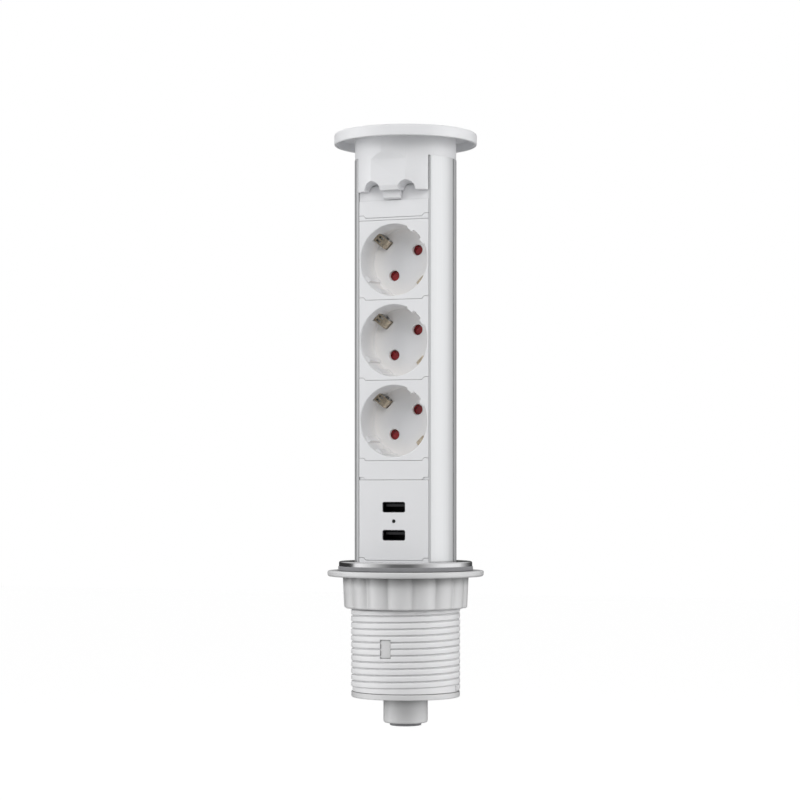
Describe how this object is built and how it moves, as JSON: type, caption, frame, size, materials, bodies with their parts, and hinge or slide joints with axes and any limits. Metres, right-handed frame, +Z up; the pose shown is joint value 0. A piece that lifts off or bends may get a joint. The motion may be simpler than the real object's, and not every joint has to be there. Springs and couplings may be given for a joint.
{
  "type": "pull-up worktop socket tower",
  "caption": "Round pull-up socket tower for a worktop, with earthed sockets, USB ports, trim ring and clamp nut",
  "frame": {"origin": "on the column's axis, in the plane of the worktop that the gasket rests on", "axes": "+Z up along the column; the sockets face -Y; +X is to the right seen from the front"},
  "size_m": [0.0844, 0.0844, 0.319],
  "materials": {
    "white_plastic": "satin",
    "clamp_plastic": "matte",
    "housing_plastic": "matte",
    "anodised_aluminium": "satin anodised",
    "polished_steel": "polished",
    "grey_rubber": "matte",
    "red_plastic": "gloss",
    "brass": "plain",
    "nickel_brass": "nickelled",
    "steel": "zinc plated",
    "dark_nickel": "black nickel plated",
    "black_plastic": "matte",
    "circuit_board": "solder mask",
    "clear_plastic": "clear"
  },
  "bodies": {
    "collar": {"trim_ring": "polished_steel", "gasket": "grey_rubber", "threaded_sleeve": "clamp_plastic", "guide_shoe": "clamp_plastic"},
    "washer": {"clamp_washer": "clamp_plastic"},
    "nut": {"clamp_nut": "clamp_plastic"},
    "tower": {"cap": "white_plastic", "top_housing": "white_plastic", "top_screws": "steel", "column_profile": "anodised_aluminium", "blank_plate": "white_plastic", "spacer_strip": "white_plastic", "socket_insert_1": "white_plastic", "socket_insert_2": "white_plastic", "socket_insert_3": "white_plastic", "socket_base_1": "housing_plastic", "socket_base_2": "housing_plastic", "socket_base_3": "housing_plastic", "earth_clip_1": "nickel_brass", "earth_clip_2": "nickel_brass", "earth_clip_3": "nickel_brass", "live_bar": "brass", "neutral_bar": "brass", "earth_bar": "brass", "bar_cover": "housing_plastic", "label_plate": "white_plastic", "usb_plate": "white_plastic", "usb_port_upper": "dark_nickel", "usb_port_lower": "dark_nickel", "usb_tongues": "black_plastic", "light_pipe": "clear_plastic", "usb_housing": "housing_plastic", "usb_board": "circuit_board", "usb_transformer": "black_plastic", "usb_capacitor": "black_plastic", "usb_feed_contacts": "brass", "lower_cover": "white_plastic", "terminal_block": "housing_plastic", "terminal_screws": "steel", "bottom_cap": "clamp_plastic", "cable_gland": "clamp_plastic", "bottom_screws": "steel", "cable_grommet": "grey_rubber"},
    "shutter_1": {"shutter_1": "red_plastic", "shutter_spring_1": "steel"},
    "shutter_2": {"shutter_2": "red_plastic", "shutter_spring_2": "steel"},
    "shutter_3": {"shutter_3": "red_plastic", "shutter_spring_3": "steel"}
  },
  "joints": [
    {"name": "tower_slide", "type": "slide", "parent": "collar", "child": "tower", "axis": [0, 0, 1], "range_m": [-0.2289, 0]},
    {"name": "washer_slide", "type": "slide", "parent": "collar", "child": "washer", "axis": [0, 0, 1], "range_m": [-0.03851, 0]},
    {"name": "nut_turn", "type": "hinge", "parent": "washer", "child": "nut", "pos_m": [0, 0, 0], "axis": [0, 0, 1], "range_deg": [-3960, 0]},
    {"name": "shutter_1_turn", "type": "hinge", "parent": "tower", "child": "shutter_1", "pos_m": [0, 0, 0.1661], "axis": [0, -1, 0], "range_deg": [0, 40], "stiffness_Nm_per_rad": 0.01},
    {"name": "shutter_2_turn", "type": "hinge", "parent": "tower", "child": "shutter_2", "pos_m": [0, 0, 0.1231], "axis": [0, -1, 0], "range_deg": [0, 40], "stiffness_Nm_per_rad": 0.01},
    {"name": "shutter_3_turn", "type": "hinge", "parent": "tower", "child": "shutter_3", "pos_m": [0, 0, 0.0801], "axis": [0, -1, 0], "range_deg": [0, 40], "stiffness_Nm_per_rad": 0.01}
  ],
  "couplings": [
    {"joint": "washer_slide", "follows": "nut_turn", "m_per_rad": 0.00055704}
  ]
}
